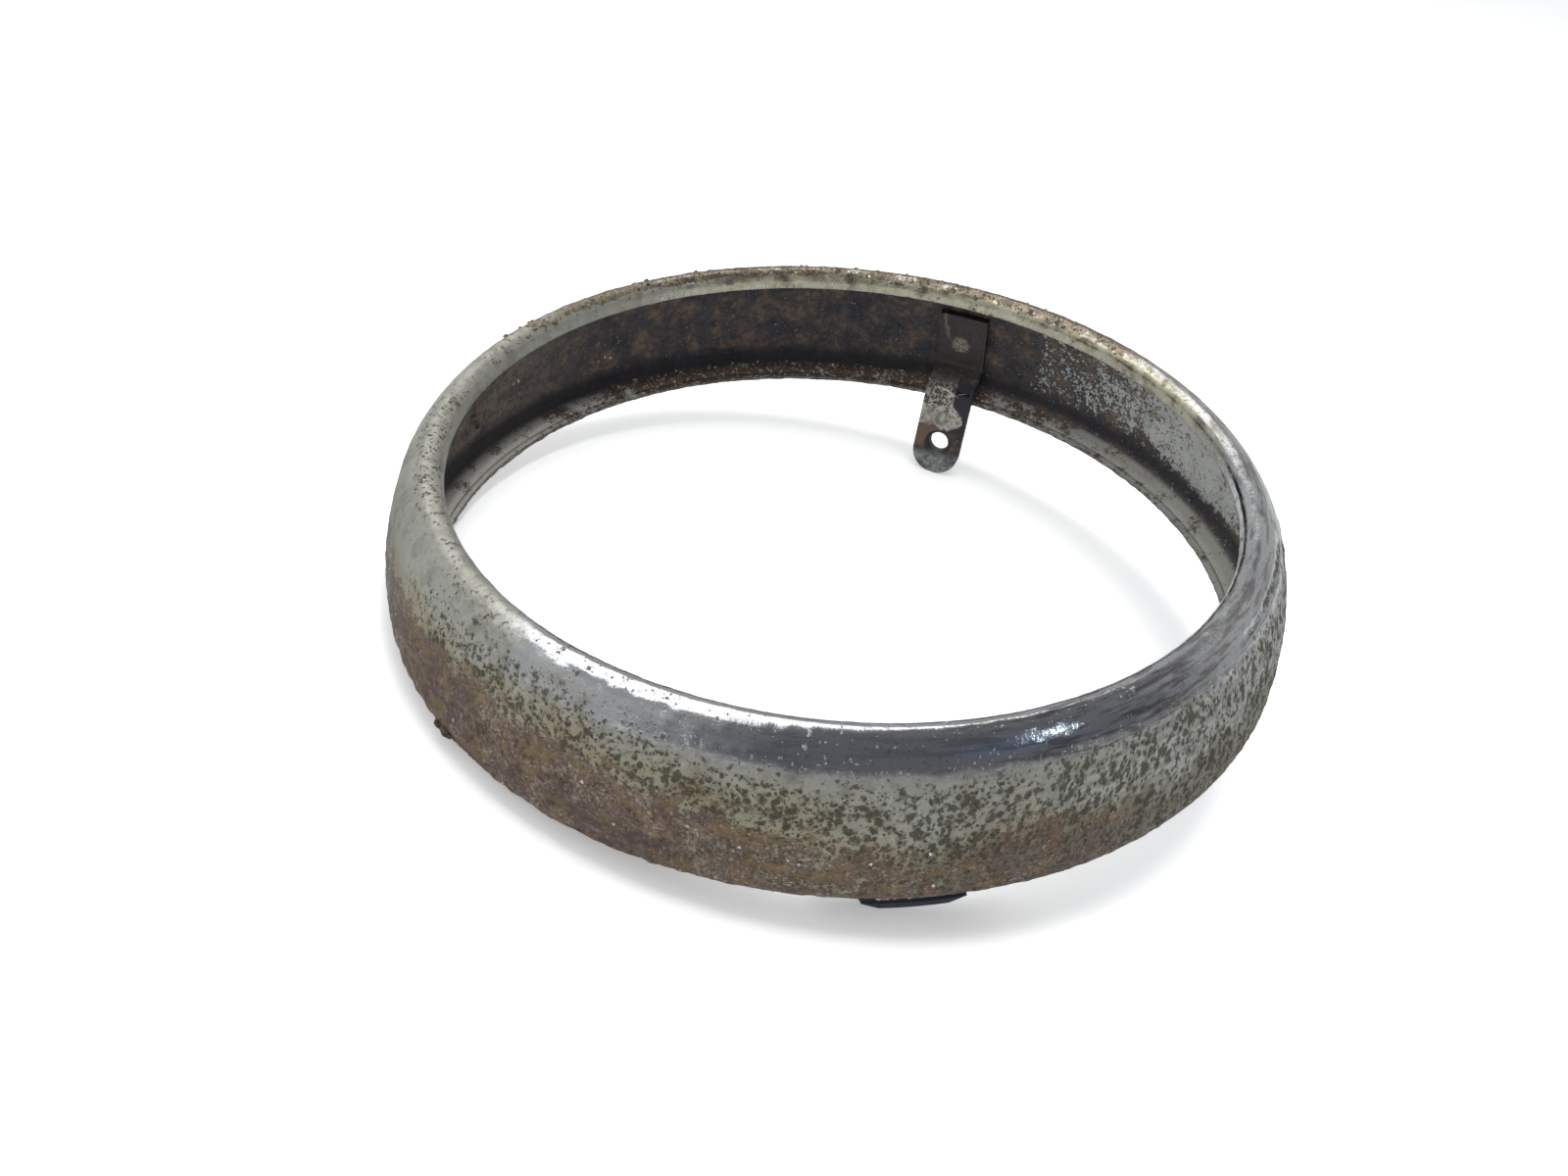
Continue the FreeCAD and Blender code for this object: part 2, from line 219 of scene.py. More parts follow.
def makeFloor():
    reach = floorSet["reach"]
    corners = []
    for x, y in ((-reach, -reach), (reach, -reach), (reach, reach), (-reach, reach)):
        z = floorSet["height"] + floorSet["slopeX"] * x + floorSet["slopeY"] * y
        corners.append((x, y, z))
    mesh = bpy.data.meshes.new("floor")
    mesh.from_pydata(corners, [], [(0, 1, 2, 3)])
    floor = bpy.data.objects.new("floor", mesh)
    bpy.context.scene.collection.objects.link(floor)
    finish = Finish("floorWhite")
    rays = finish.add("ShaderNodeLightPath", {}, {}, "Is Camera Ray")
    seen = rays.atLeast(finish.other(rays, "Is Transmission Ray"))
    shade = finish.blend(seen, floorSet["shade"], floorSet["seenShade"])
    shade = finish.blend(finish.other(rays, "Is Glossy Ray"), shade, floorSet["mirrored"])
    plain = finish.add("ShaderNodeBsdfDiffuse", {}, {"Color": shade})
    glow = finish.add("ShaderNodeEmission", {}, {"Strength": seen * floorSet["whiten"]})
    both = finish.add("ShaderNodeAddShader", {}, {0: plain, 1: glow})
    finish.finishWith(both)
    mesh.materials.append(finish.material)


makeFloor()


# Light: a bright panel on the left that only the plating mirrors, a wide soft ceiling, a smaller key
# overhead and a small bluish lamp for the glint on the front
roomSet = {
    "far": 0.42,
    "left": (0.46, 0.48, 0.5, 1.0),
    "dim": (0.13, 0.133, 0.148, 1.0),
    "dimFloor": (0.24, 0.24, 0.235, 1.0),
    "ceiling": (0.17, 0.17, 0.18, 1.0),
    "glow": (0.12, 0.15, 0.21, 1.0),
}
lampSet = {
    "panel": {
        "place": (-0.8, 0.22, 1.0),
        "size": (1.5, 1.8),
        "power": 12.5,
        "tone": (1.0, 0.99, 0.975),
        "mirroredOnly": True,
    },
    "ceiling": {
        "place": (0.2, 0.5, 1.4),
        "size": (4.4, 4.4),
        "power": 32.0,
        "tone": (1.0, 1.0, 0.99),
        "mirrored": False,
    },
    "key": {
        "place": (0.15, 0.06, 1.2),
        "size": (0.4, 0.4),
        "power": 6.8,
        "tone": (1.0, 1.0, 0.99),
        "mirrored": False,
    },
    "glint": {
        "place": (1.29, -0.31, 0.92),
        "aim": (0.06, -0.06, 0.05),
        "size": (0.05, 0.09),
        "power": 0.28,
        "tone": (0.72, 0.85, 1.0),
    },
}


def makeRoom():
    world = bpy.data.worlds.new("room")
    world.use_nodes = True
    bpy.context.scene.world = world
    board = Board(world.node_tree)
    given = roomSet
    way = board.add("ShaderNodeTexCoord", {}, {}, "Generated")
    across = board.add("ShaderNodeSeparateXYZ", {}, {0: way}, "X")
    along = board.other(across, "Y")
    height = board.other(across, "Z")
    far = (given["far"],) * 3 + (1.0,)
    tone = board.blend(across.rise(-0.1, -0.8), far, given["left"])
    tone = board.blend(height.rise(0.5, 0.75) * across.rise(-0.25, 0.1), tone, given["ceiling"])
    corner = (across * 0.75 - along * 0.65).rise(0.15, 0.68)
    dim = board.blend(height.rise(0.3, 0.08), given["dim"], given["dimFloor"])
    tone = board.blend(corner, tone, dim)
    # a faint blue patch beside the small lamp
    patch = (across * 0.77 - along * 0.35 + height * 0.53).rise(0.978, 0.998)
    tone = board.blend(patch, tone, given["glow"])
    rays = board.add("ShaderNodeLightPath", {}, {}, "Is Camera Ray")
    shown = board.blend(rays, tone, (1.0, 1.0, 1.0, 1.0))
    glow = board.add("ShaderNodeBackground", {}, {"Color": shown, "Strength": 1.0})
    output = world.node_tree.nodes.new("ShaderNodeOutputWorld")
    world.node_tree.links.new(glow.socket, output.inputs["Surface"])


def makeLamps():
    for name, lamp in lampSet.items():
        data = bpy.data.lights.new(name, "AREA")
        data.shape = "RECTANGLE"
        data.size, data.size_y = lamp["size"]
        data.energy = lamp["power"]
        data.color = lamp["tone"]
        light = bpy.data.objects.new(name, data)
        bpy.context.scene.collection.objects.link(light)
        light.visible_glossy = lamp.get("mirrored", True)
        light.visible_diffuse = not lamp.get("mirroredOnly", False)
        place = Vector(lamp["place"])
        turn = Matrix.Identity(4)
        if "aim" in lamp:
            turn = (Vector(lamp["aim"]) - place).to_track_quat("-Z", "Y").to_matrix().to_4x4()
        light.matrix_world = Matrix.Translation(place) @ turn


makeRoom()
makeLamps()
print("camera, floor and lights made")


# Rim: the ring is one turned sheet, lathed finely so that rust and dents are in its mesh
rimSet = {
    "radius": 90.0,
    "height": 32.0,
    "gauge": 0.8,
    "wallRadius": 51.6,
    "shoulderRadius": 15.3,
    "rollRadius": 2.7,
    "lipRadius": 77.4,
    "lipSkirt": 1.6,
    "curlRadius": 5.2,
    "seatStep": 0.9,
    "flangeRadius": 82.2,
    "seatBand": 1.5,
    "stepRun": 1.3,
    "seat": 19.5,
    "columns": 684,
    "worn": 0.08,
    # the size of the features in the mesh, and how far they stand out, in mm
    "broadGrain": 26,
    "coarseGrain": 9,
    "fineGrain": 2.2,
    "rustLift": 0.1,
    "rustGrain": 0.34,
    "residueLift": 0.1,
    "waviness": 0.04,
    "creaseDepth": 0.3,
    # the size of the pits and how readily they show, and how ragged they are
    "pitSizes": ((2.5, 0.44), (1.4, 0.52), (0.75, 0.54)),
    "raggedScale": 1300.0,
    "raggedShift": 1.3,
    # how far one degree round the ring counts for grain that is drawn out round it
    "degreeCounts": 0.16,
}


def bow(centre, radius, start, end, count):
    # points on an arc as radius, height and the way out of the sheet
    points = []
    for step in range(count):
        turn = start + (end - start) * (step + 0.5) / count
        out = (math.cos(turn), math.sin(turn))
        points.append((centre[0] + radius * out[0], centre[1] + radius * out[1], *out))
    return points


def rimSection(share):
    # share of the full number of points on each bow
    given = rimSet
    wall = (given["radius"] - given["wallRadius"], given["seatStep"] + given["curlRadius"])
    roll = (given["lipRadius"] + given["rollRadius"], given["height"] - given["rollRadius"])
    curl = (given["radius"] - given["curlRadius"], given["seatStep"] + given["curlRadius"])
    # the shoulder's centre lies where it touches both the wall and the roll
    wallReach = given["wallRadius"] - given["shoulderRadius"]
    rollReach = given["shoulderRadius"] - given["rollRadius"]
    between = math.dist(wall, roll)
    along = (wallReach**2 - rollReach**2 + between**2) / (2 * between)
    aside = math.sqrt(wallReach**2 - along**2)
    unit = ((roll[0] - wall[0]) / between, (roll[1] - wall[1]) / between)
    shoulder = (wall[0] + along * unit[0] + aside * unit[1], wall[1] + along * unit[1] - aside * unit[0])
    rollEnd = math.atan2(roll[1] - shoulder[1], roll[0] - shoulder[0])
    wallEnd = math.atan2(shoulder[1] - wall[1], shoulder[0] - wall[0])
    edgeHeight = roll[1] - given["lipSkirt"] - given["worn"]
    points = [(given["lipRadius"] + 2.5 * given["worn"], edgeHeight, -0.4, -0.9)]
    for step in range(3):
        points.append((given["lipRadius"], roll[1] - given["lipSkirt"] * (1 - step / 3), -1.0, 0.0))
    points += bow(roll, given["rollRadius"], math.pi, rollEnd, round(12 * share))
    points += bow(shoulder, given["shoulderRadius"], rollEnd, wallEnd, round(20 * share))
    points += bow(wall, given["wallRadius"], wallEnd, 0.0, round(34 * share))
    points += bow(curl, given["curlRadius"], 0.0, -math.pi / 2, round(10 * share))
    # the flange steps down softly to its flat seat
    stepTop = given["flangeRadius"] + given["seatBand"] + given["stepRun"]
    for step in range(5):
        part = step / 4
        drop = part * part * (3 - 2 * part)
        slope = 6 * part * (1 - part) * given["seatStep"] / given["stepRun"]
        steep = math.hypot(1, slope)
        height = given["seatStep"] * (1 - drop)
        points.append((stepTop - part * given["stepRun"], height, slope / steep, -1 / steep))
    for step in range(1, 4):
        points.append((stepTop - given["stepRun"] - given["seatBand"] * step / 3, 0.0, 0.0, -1.0))
    points.append((given["flangeRadius"] - given["worn"], 2.5 * given["worn"], -0.9, -0.4))
    return np.array(points)


def window(turn, middle, half, soft):
    # 1 within half degrees of middle, 0 further off than half + soft
    away = np.abs((turn - middle + 180) % 360 - 180)
    share = np.clip((half + soft - away) / soft, 0, 1)
    return share * share * (3 - 2 * share)


def ramped(values, low, high):
    share = np.clip((values - low) / (high - low), 0, 1)
    return share * share * (3 - 2 * share)


def grain(points, size, octaves=3):
    scale = 1 / (size * mm)
    return np.array([noise.fractal(Vector(p) * scale, 1.0, 2.0, octaves) for p in points])


def strongest(*fields):
    return np.maximum.reduce(fields)


def rimWear(degrees, height, inside, coarse, broad):
    # how much of each kind of wear lies at each point, 0 to 1; heights are in mm over the seat
    outside = 1 - inside
    wear = {}
    # heavy brown crust: the lower wall at the front left, thinning to patches round the front
    crustTop = 19.0 + 2.5 * coarse + 1.5 * window(degrees, -122, 10, 14)
    crust = strongest(
        window(degrees, -142, 52, 18) * ramped(height, crustTop + 5.5, crustTop - 6.5),
        0.66 * window(degrees, -84, 8, 16) * ramped(height, 21 + 4 * coarse, 13 + 4 * coarse),
        0.52 * window(degrees, -60, 18, 14) * ramped(height, 22 + 5 * coarse, 9 + 5 * coarse),
        0.3 * window(degrees, -22, 20, 14) * ramped(height, 17 + 4 * coarse, 6 + 4 * coarse),
        0.5 * window(degrees, 120, 60, 30) * ramped(height, 16 + 5 * coarse, 6 + 5 * coarse),
    )
    wear["crust"] = crust * outside
    # olive and golden film above and between the rust
    filmTop = 24.0 + 2.5 * coarse
    film = strongest(
        window(degrees, -118, 40, 26) * ramped(height, filmTop + 4.5, filmTop - 4.5),
        0.9 * window(degrees, -66, 22, 20) * ramped(height, 24 + 4 * coarse, 13 + 4 * coarse),
        0.45 * window(degrees, -22, 26, 20) * ramped(height, 22, 8),
        0.5 * window(degrees, -160, 14, 12) * ramped(height, 29, 23),
    )
    wear["film"] = film * outside
    # dark pits: few on the crest, dense on the wall
    crest = window(degrees, -158, 44, 14) * ramped(height, 29.5, 30.8)
    crease = window(degrees, -3, 9, 5) * ramped(np.abs(height - 28.8), 0.9, 0.3)
    pits = strongest(
        0.26 + 0.68 * ramped(height, 30.0 + 2 * coarse, 22.0 + 2 * coarse),
        0.86 * window(degrees, -50, 22, 14) * ramped(height, 27.5 + coarse, 24.0 + coarse),
        0.8 * window(degrees, -162, 14, 8) * ramped(height, 30, 26),
        window(degrees, -108, 18, 12) * (0.46 + 0.36 * ramped(height, 30.5, 26 + 3 * coarse)),
        0.74 * crest * ramped(broad, -0.35, 0.15),
        0.66 * window(degrees, 120, 56, 20) * ramped(height, 29, 31),
        0.94 * window(degrees, -14, 30, 16) * ramped(height, 31.0, 25.0),
        1.3 * crease,
    )
    wear["crease"] = crease * outside
    fewer = 1 - 0.6 * window(degrees, -156, 26, 10) * ramped(height, 30.5, 29.5)
    wear["pits"] = pits * outside * fewer
    # a dull skin where the plating has lost its mirror
    dull = strongest(
        0.08 + 0.9 * ramped(height, 28.6, 25.0),
        window(degrees, -162, 38, 32),
        0.5 * window(degrees, -112, 12, 16) * ramped(height, 31.5, 30.3),
        0.5 * window(degrees, 112, 82, 22),
        0.3 * window(degrees, 4, 22, 18),
    )
    wear["dull"] = dull * outside
    # grey dirt that hides the metal down the far left
    wear["veil"] = window(degrees, -158, 14, 18) * ramped(height, 31, 28) * outside
    # dust lightens the residue inside on the left
    wear["dust"] = window(degrees, 184, 12, 22) * inside
    # cream deposit on the far crest, which also stands in as a painted highlight along the lip's roll
    cream = window(degrees, 88, 40, 30) * ramped(height, 26, 29) * ramped(height, 31.9, 31.0)
    wear["cream"] = cream * outside
    # the top of the far lip is brown and rough
    brown = window(degrees, 112, 40, 40) * ramped(height, 30.4 + 0.6 * coarse, 31.5 + 0.6 * coarse)
    wear["brown"] = brown * outside
    # streaks round the ring in the plating on the right
    wear["drawn"] = window(degrees, 0, 40, 24) * outside
    # a brown-grey stain low on the right
    stain = window(degrees, -24, 26, 24) * ramped(height, 25, 9)
    wear["stain"] = stain * outside
    # the inside: dark residue, a darker nook in its corner that is painted shade with dirt in it, and the
    # flange that shows under it
    corner = strongest(
        window(degrees, 50, 48, 16) * ramped(height, 6.6 + coarse, 5.0 + coarse),
        window(degrees, 66, 12, 10) * ramped(height, 9.5 + 2 * coarse, 6.5 + 2 * coarse),
    )
    residue = strongest(
        window(degrees, 152, 72, 10),
        0.62 * window(degrees, 84, 10, 36),
        0.8 * corner,
        0.45 * window(degrees, -60, 80, 30),
    )
    wear["residue"] = residue * inside
    # the nook: painted shade of the recessed corner between wall and flange, with its dirt
    low = 1.4 + 1.2 * window(degrees, 50, 34, 24)
    wear["nook"] = inside * ramped(height, 6.5, 4.5) * ramped(height, low, low + 1)
    wear["inside"] = inside
    wear["flange"] = inside * ramped(height, 2.7, 2.0)
    wear["flangeRust"] = window(degrees, 116, 16, 50)
    # the right side wears in upright streaks
    wear["upright"] = window(degrees, -2, 26, 26)
    return {name: np.clip(field, 0, 1) for name, field in wear.items()}


def makeRim():
    given = rimSet
    outer = rimSection(1.0)
    inner = rimSection(0.55)
    inner[:, 0] -= inner[:, 2] * given["gauge"]
    inner[:, 1] -= inner[:, 3] * given["gauge"]
    inner[:, 2:] *= -1
    loop = np.vstack([outer, inner[::-1]])
    rows = len(loop)
    columns = given["columns"]
    turns = np.arange(columns) * 2 * math.pi / columns
    turn, row = np.meshgrid(turns, np.arange(rows), indexing="ij")
    radius = loop[row, 0]
    height = loop[row, 1]
    inside = (row >= len(outer)).astype(float)
    degrees = np.degrees(turn)
    east = np.cos(turn)
    north = np.sin(turn)
    points = np.stack([radius * east, radius * north, height + given["seat"]], -1).reshape(-1, 3) * mm
    ways = np.stack([loop[row, 2] * east, loop[row, 2] * north, loop[row, 3]], -1).reshape(-1, 3)

    broad = grain(points, given["broadGrain"], 2).reshape(turn.shape)
    coarse = grain(points, given["coarseGrain"]).reshape(turn.shape)
    fine = grain(points, given["fineGrain"], 4).reshape(turn.shape)
    wear = rimWear(degrees, height, inside, coarse, broad)
    rough = np.maximum(wear["crust"], wear["pits"] * ramped(fine, 0.05, 0.3) * 0.6)
    lift = rough * (given["rustLift"] + given["rustGrain"] * fine)
    lift = lift + wear["residue"] * given["residueLift"] * fine
    lift = lift + given["waviness"] * broad - given["creaseDepth"] * wear["crease"]
    points = points + ways * (lift.reshape(-1, 1) * mm)

    faces = []
    for column in range(columns):
        start = column * rows
        after = (column + 1) % columns * rows
        for step in range(rows):
            further = (step + 1) % rows
            faces.append((start + step, start + further, after + further, after + step))
    mesh = bpy.data.meshes.new("rimSkin")
    mesh.from_pydata(points.tolist(), [], faces)
    for name, field in wear.items():
        layer = mesh.attributes.new(name, "FLOAT", "POINT")
        layer.data.foreach_set("value", field.reshape(-1).astype(np.float32))
    mesh.shade_smooth()
    mesh.update()
    rim = bpy.data.objects.new("rimSkin", mesh)
    bpy.context.scene.collection.objects.link(rim)
    mesh.materials.append(rimFinish())
    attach(rim, "root")
    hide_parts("rim")
    return rim


def rimFinish():
    given = rimSet
    coat = Finish("wornChrome")
    place = coat.place()
    crust, film, pits, dull = (coat.wear(name) for name in ("crust", "film", "pits", "dull"))
    cream, brown, stain, upright = (coat.wear(name) for name in ("cream", "brown", "stain", "upright"))
    inside, residue, flange, nook = (coat.wear(name) for name in ("inside", "residue", "flange", "nook"))

    # the way round the ring in degrees, and a grain drawn out round the ring
    east = coat.add("ShaderNodeSeparateXYZ", {}, {0: place}, "X")
    north = coat.other(east, "Y")
    turn = east.sum("ARCTAN2", north, east) * (180 / math.pi)
    reachOut = east.sum("SQRT", east * east + north * north)
    parts = {0: reachOut, 1: turn * (given["degreeCounts"] * mm), 2: coat.other(east, "Z")}
    brushed = coat.cloud(coat.add("ShaderNodeCombineXYZ", {}, parts), 1.0, 4, 0.6)
    broad = coat.cloud(place, 14, 3)
    patchy = coat.cloud(place, 5, 4, 0.6)
    fine = coat.cloud(place, 1.3, 5, 0.65)
    speck = coat.cloud(coat.shifted(place, (0.3, 0.1, 0.2)), 0.55, 3, 0.6)
    banded = coat.cloud(coat.scaled(place, (1.0, 1.0, 2.0)), 6, 5, 0.65)
    streak = coat.cloud(coat.scaled(place, (1.0, 1.0, 0.3)), 1.6, 4, 0.6)
    scratch = coat.cloud(coat.scaled(place, (1.0, 1.0, 0.12)), 1.0, 3, 0.6)

    # dark pits: some cells of three sizes hold one, with ragged edges; drawn out upright on the right
    stretch = coat.add("ShaderNodeCombineXYZ", {}, {0: 1.0, 1: 1.0, 2: 1.0 - upright * 0.4})
    drawn = coat.scaled(place, stretch)
    parts = {"Vector": drawn, "Scale": given["raggedScale"], "Detail": 4.0}
    bent = coat.add("ShaderNodeTexNoise", {}, parts, "Color")
    parts = {0: bent, 1: (given["raggedShift"] * mm,) * 3, 2: drawn}
    warped = coat.add("ShaderNodeVectorMath", {"operation": "MULTIPLY_ADD"}, parts)
    pitMask = None
    for size, share in given["pitSizes"]:
        near = coat.cells(warped, size)
        lot = coat.add("ShaderNodeSeparateColor", {}, {0: coat.other(near, "Color")}, 0)
        reach = pits * share - lot * 0.36 + (fine - 0.5) * 0.8 + (patchy - 0.5) * 0.45
        mask = (reach - near * 0.8).rise(-0.04, 0.18)
        pitMask = mask if pitMask is None else pitMask.atLeast(mask)

    chrome = coat.ramp(broad, [(0.35, tint(216, 218, 220)), (0.65, tint(206, 208, 212))])
    mattStops = [(0.32, tint(146, 145, 134)), (0.5, tint(174, 173, 164)), (0.68, tint(150, 148, 136))]
    matt = coat.ramp(patchy, mattStops)
    matt = coat.blend(upright * 0.5, matt, tint(196, 196, 192))
    dullShare = (dull + (patchy - 0.5) * 0.9 + (fine - 0.5) * 0.6).rise(0.2, 0.8)
    bright = coat.blend(dullShare, chrome, matt)
    # a fine haze of tiny spots all over the plating, and grey streaks round the ring
    haze = (speck * 0.6 + fine * 0.4).rise(0.52, 0.64)
    bright = coat.blend(haze * 0.4, bright, tint(112, 113, 108))
    streaks = brushed.rise(0.46, 0.6) * (coat.wear("drawn") * 0.5 + (1 - dull) * 0.25)
    bright = coat.blend(streaks, bright, tint(122, 120, 116))
    # pale upright scratches in the dull skin, then the olive and golden film
    bright = coat.blend(scratch.rise(0.62, 0.68) * dullShare * 0.5, bright, tint(196, 198, 196))
    filmShare = (film * 1.15 + (fine - 0.5) * 1.3 + (patchy - 0.5) * 0.9).rise(0.15, 1.05)
    filmStops = [(0.36, tint(150, 151, 130)), (0.5, tint(166, 160, 130)), (0.62, tint(158, 138, 106))]
    bright = coat.blend(filmShare * 0.8, bright, coat.ramp(broad, filmStops))
    filmSpots = filmShare * (speck * 0.5 + fine * 0.5).rise(0.51, 0.6)
    bright = coat.blend(filmSpots * 0.7, bright, tint(98, 92, 68))
    # soft brown blotches low on the front
    blotch = (film * 0.9 + (banded - 0.5) * 3.0 + (fine - 0.5) * 1.0).rise(0.75, 1.15)
    bright = coat.blend(blotch * 0.6, bright, tint(112, 92, 70))
    stainShare = (stain * 1.1 + (streak - 0.5) * 1.6 + (patchy - 0.5) * 1.2).rise(0.25, 0.95)
    bright = coat.blend(stainShare * 0.8, bright, tint(112, 107, 92))
    # painted highlight: the pale cream tones stand in for the bright reflection along the far lip's roll,
    # over a real cream deposit
    creamHighlightStops = [(0.36, tint(128, 110, 80)), (0.45, tint(194, 186, 150)), (0.62, tint(226, 221, 196))]
    bright = coat.blend(cream * 0.75, bright, coat.ramp(patchy, creamHighlightStops))
    grainy = (fine - 0.5) * 2.4 + (speck - 0.5) * 1.2 + (patchy - 0.5) * 1.6
    brownShare = (brown + grainy).rise(0.35, 0.8) * brown.rise(0.02, 0.2)
    brownStops = [(0.42, tint(74, 62, 50)), (0.5, tint(116, 100, 80)), (0.6, tint(168, 154, 128))]
    bright = coat.blend(brownShare * 0.85, bright, coat.ramp(fine * 0.6 + speck * 0.4, brownStops))
    pitTone = coat.ramp(speck, [(0.36, tint(44, 45, 39)), (0.62, tint(86, 82, 66))])
    pitTone = coat.blend(crust.rise(0.1, 0.7) * 0.7, pitTone, tint(92, 76, 66))
    bright = coat.blend(pitMask * 0.9, bright, pitTone)

    mixed = (fine - 0.5) * 2.6 + (speck - 0.5) * 1.4 + (banded - 0.5) * 2.0
    crustShare = (crust * 1.3 + mixed).rise(0.35, 0.85) * crust.rise(0.02, 0.2)
    crustStops = [
        (0.41, tint(66, 53, 50)),
        (0.47, tint(104, 86, 78)),
        (0.53, tint(136, 116, 103)),
        (0.59, tint(174, 157, 142)),
    ]
    crustTone = coat.ramp(speck * 0.35 + fine * 0.4 + patchy * 0.25, crustStops)
    crustTone = coat.blend(broad.rise(0.46, 0.58) * 0.5, crustTone, tint(100, 83, 84))
    crustTone = coat.blend(banded.rise(0.5, 0.6) * 0.55, crustTone, tint(146, 124, 88))
    paleGrit = speck.rise(0.62, 0.7) * patchy.rise(0.5, 0.58)
    crustTone = coat.blend(paleGrit * 0.9, crustTone, tint(218, 208, 194))
    crustTone = coat.blend(fine.rise(0.4, 0.33) * 0.6, crustTone, tint(52, 43, 41))
    skin = coat.blend(crustShare * 0.95, bright, crustTone)
    veil = coat.wear("veil") * (1 - pitMask * 0.8)
    veilStops = [(0.42, tint(112, 110, 100)), (0.58, tint(150, 149, 141))]
    skin = coat.blend(veil * 0.85, skin, coat.ramp(patchy * 0.5 + fine * 0.5, veilStops))

    # the inside has its own tones under the residue
    grainy = (fine - 0.5) * 3.2 + (speck - 0.5) * 3.0 + (patchy - 0.5) * 1.4
    residueShare = (residue * 1.5 + grainy).rise(0.4, 0.85)
    residueStops = [
        (0.40, tint(54, 53, 60)),
        (0.48, tint(74, 71, 74)),
        (0.55, tint(98, 86, 80)),
        (0.6, tint(122, 104, 88)),
    ]
    residueTone = coat.ramp(patchy * 0.55 + fine * 0.45, residueStops)
    dustStops = [(0.42, tint(84, 76, 72)), (0.56, tint(128, 116, 106))]
    dustTone = coat.ramp(banded * 0.5 + fine * 0.5, dustStops)
    residueTone = coat.blend(coat.wear("dust") * 0.75, residueTone, dustTone)
    residueTone = coat.blend(speck.rise(0.6, 0.68) * 0.4, residueTone, tint(140, 126, 112))
    back = coat.ramp(patchy, [(0.35, tint(208, 210, 204)), (0.65, tint(192, 194, 188))])
    back = coat.blend((fine * 0.6 + speck * 0.4).rise(0.58, 0.64) * 0.8, back, tint(96, 88, 78))
    back = coat.blend(residueShare, back, residueTone)
    grainy = (fine - 0.5) * 3.0 + (patchy - 0.5) * 3.0
    flangeShare = (coat.wear("flangeRust") * 0.8 + grainy).rise(0.1, 0.6)
    flangeTone = coat.blend(flangeShare, tint(196, 195, 188), tint(98, 82, 72))
    paleGrit = (speck * 0.5 + fine * 0.5).rise(0.54, 0.6)
    flangeTone = coat.blend(paleGrit * 0.8, flangeTone, tint(226, 216, 200))
    back = coat.blend(flange * 0.92, back, flangeTone)
    # painted shade: the corner between wall and flange darkened to blue-black, over its dirt
    back = coat.blend(nook * 0.85, back, tint(44, 44, 51))
    tone = coat.blend(inside, skin, back)

    coarseDull = pitMask.atLeast(crustShare).atLeast(inside * residueShare)
    metal = (1 - coarseDull) * (1 - veil * 0.9) * (1 - inside * 0.7 - dullShare * 0.45 - filmShare * 0.15)
    roughness = 0.11 + dullShare * 0.29 + filmShare * 0.08 + coarseDull * 0.5
    roughness = roughness + inside * 0.28 + haze * 0.12 + veil * 0.15
    speckled = speck * (0.1 + 0.2 * dullShare + 0.5 * coarseDull)
    height = fine * (0.04 + crustShare * 1.1) + pitMask * 0.6 + speckled
    normal = coat.relief(height, 0.22)
    return coat.surface(Base_Color=tone, Metallic=metal.held(), Roughness=roughness.held(), Normal=normal)


rimPiece = makeRim()
print("rim made:", len(rimPiece.data.polygons), "faces")


# Crumbs: loose grains of rust and old lacquer caught on the ring
crumbSet = {
    # each group: its side, from and to in degrees, from and to in mm over the seat, how many,
    # the smallest and the largest in mm, and how pale
    "groups": (
        ("inner", 92, 150, 0.8, 1.7, 70, 0.12, 0.42, 0.62),
        ("inner", 166, 170, 12.0, 14.0, 5, 0.2, 0.4, 0.7),
        ("inner", 150, 153, 9.0, 10.5, 5, 0.2, 0.4, 0.8),
        ("inner", 178, 179, 8.0, 12.0, 5, 0.4, 0.7, 0.2),
        ("outer", 58, 128, 31.2, 32.0, 46, 0.16, 0.42, 0.75),
        ("outer", -112, -56, 0.9, 2.4, 26, 0.12, 0.28, 0.85),
        ("outer", 132, 176, 30.5, 32.0, 16, 0.25, 0.55, 0.35),
        ("outer", -150, -106, 2.0, 20.0, 26, 0.14, 0.34, 0.8),
        ("outer", -100, -58, 2.5, 17.0, 26, 0.12, 0.3, 0.85),
        ("outer", -64, -60, 1.6, 3.0, 7, 0.25, 0.45, 1.0),
        ("outer", -119.2, -117.2, 3.2, 5.2, 6, 0.8, 1.3, 0.0),
    ),
    "seed": 11,
    "edgePoints": 4,  # the section's first points are its raw edge, which holds no crumbs
    "proud": 0.25,
    "lumps": 0.9,
    "lumpGrain": 2.1,
    "flattened": 0.45,
    "paleSpread": 0.16,
}


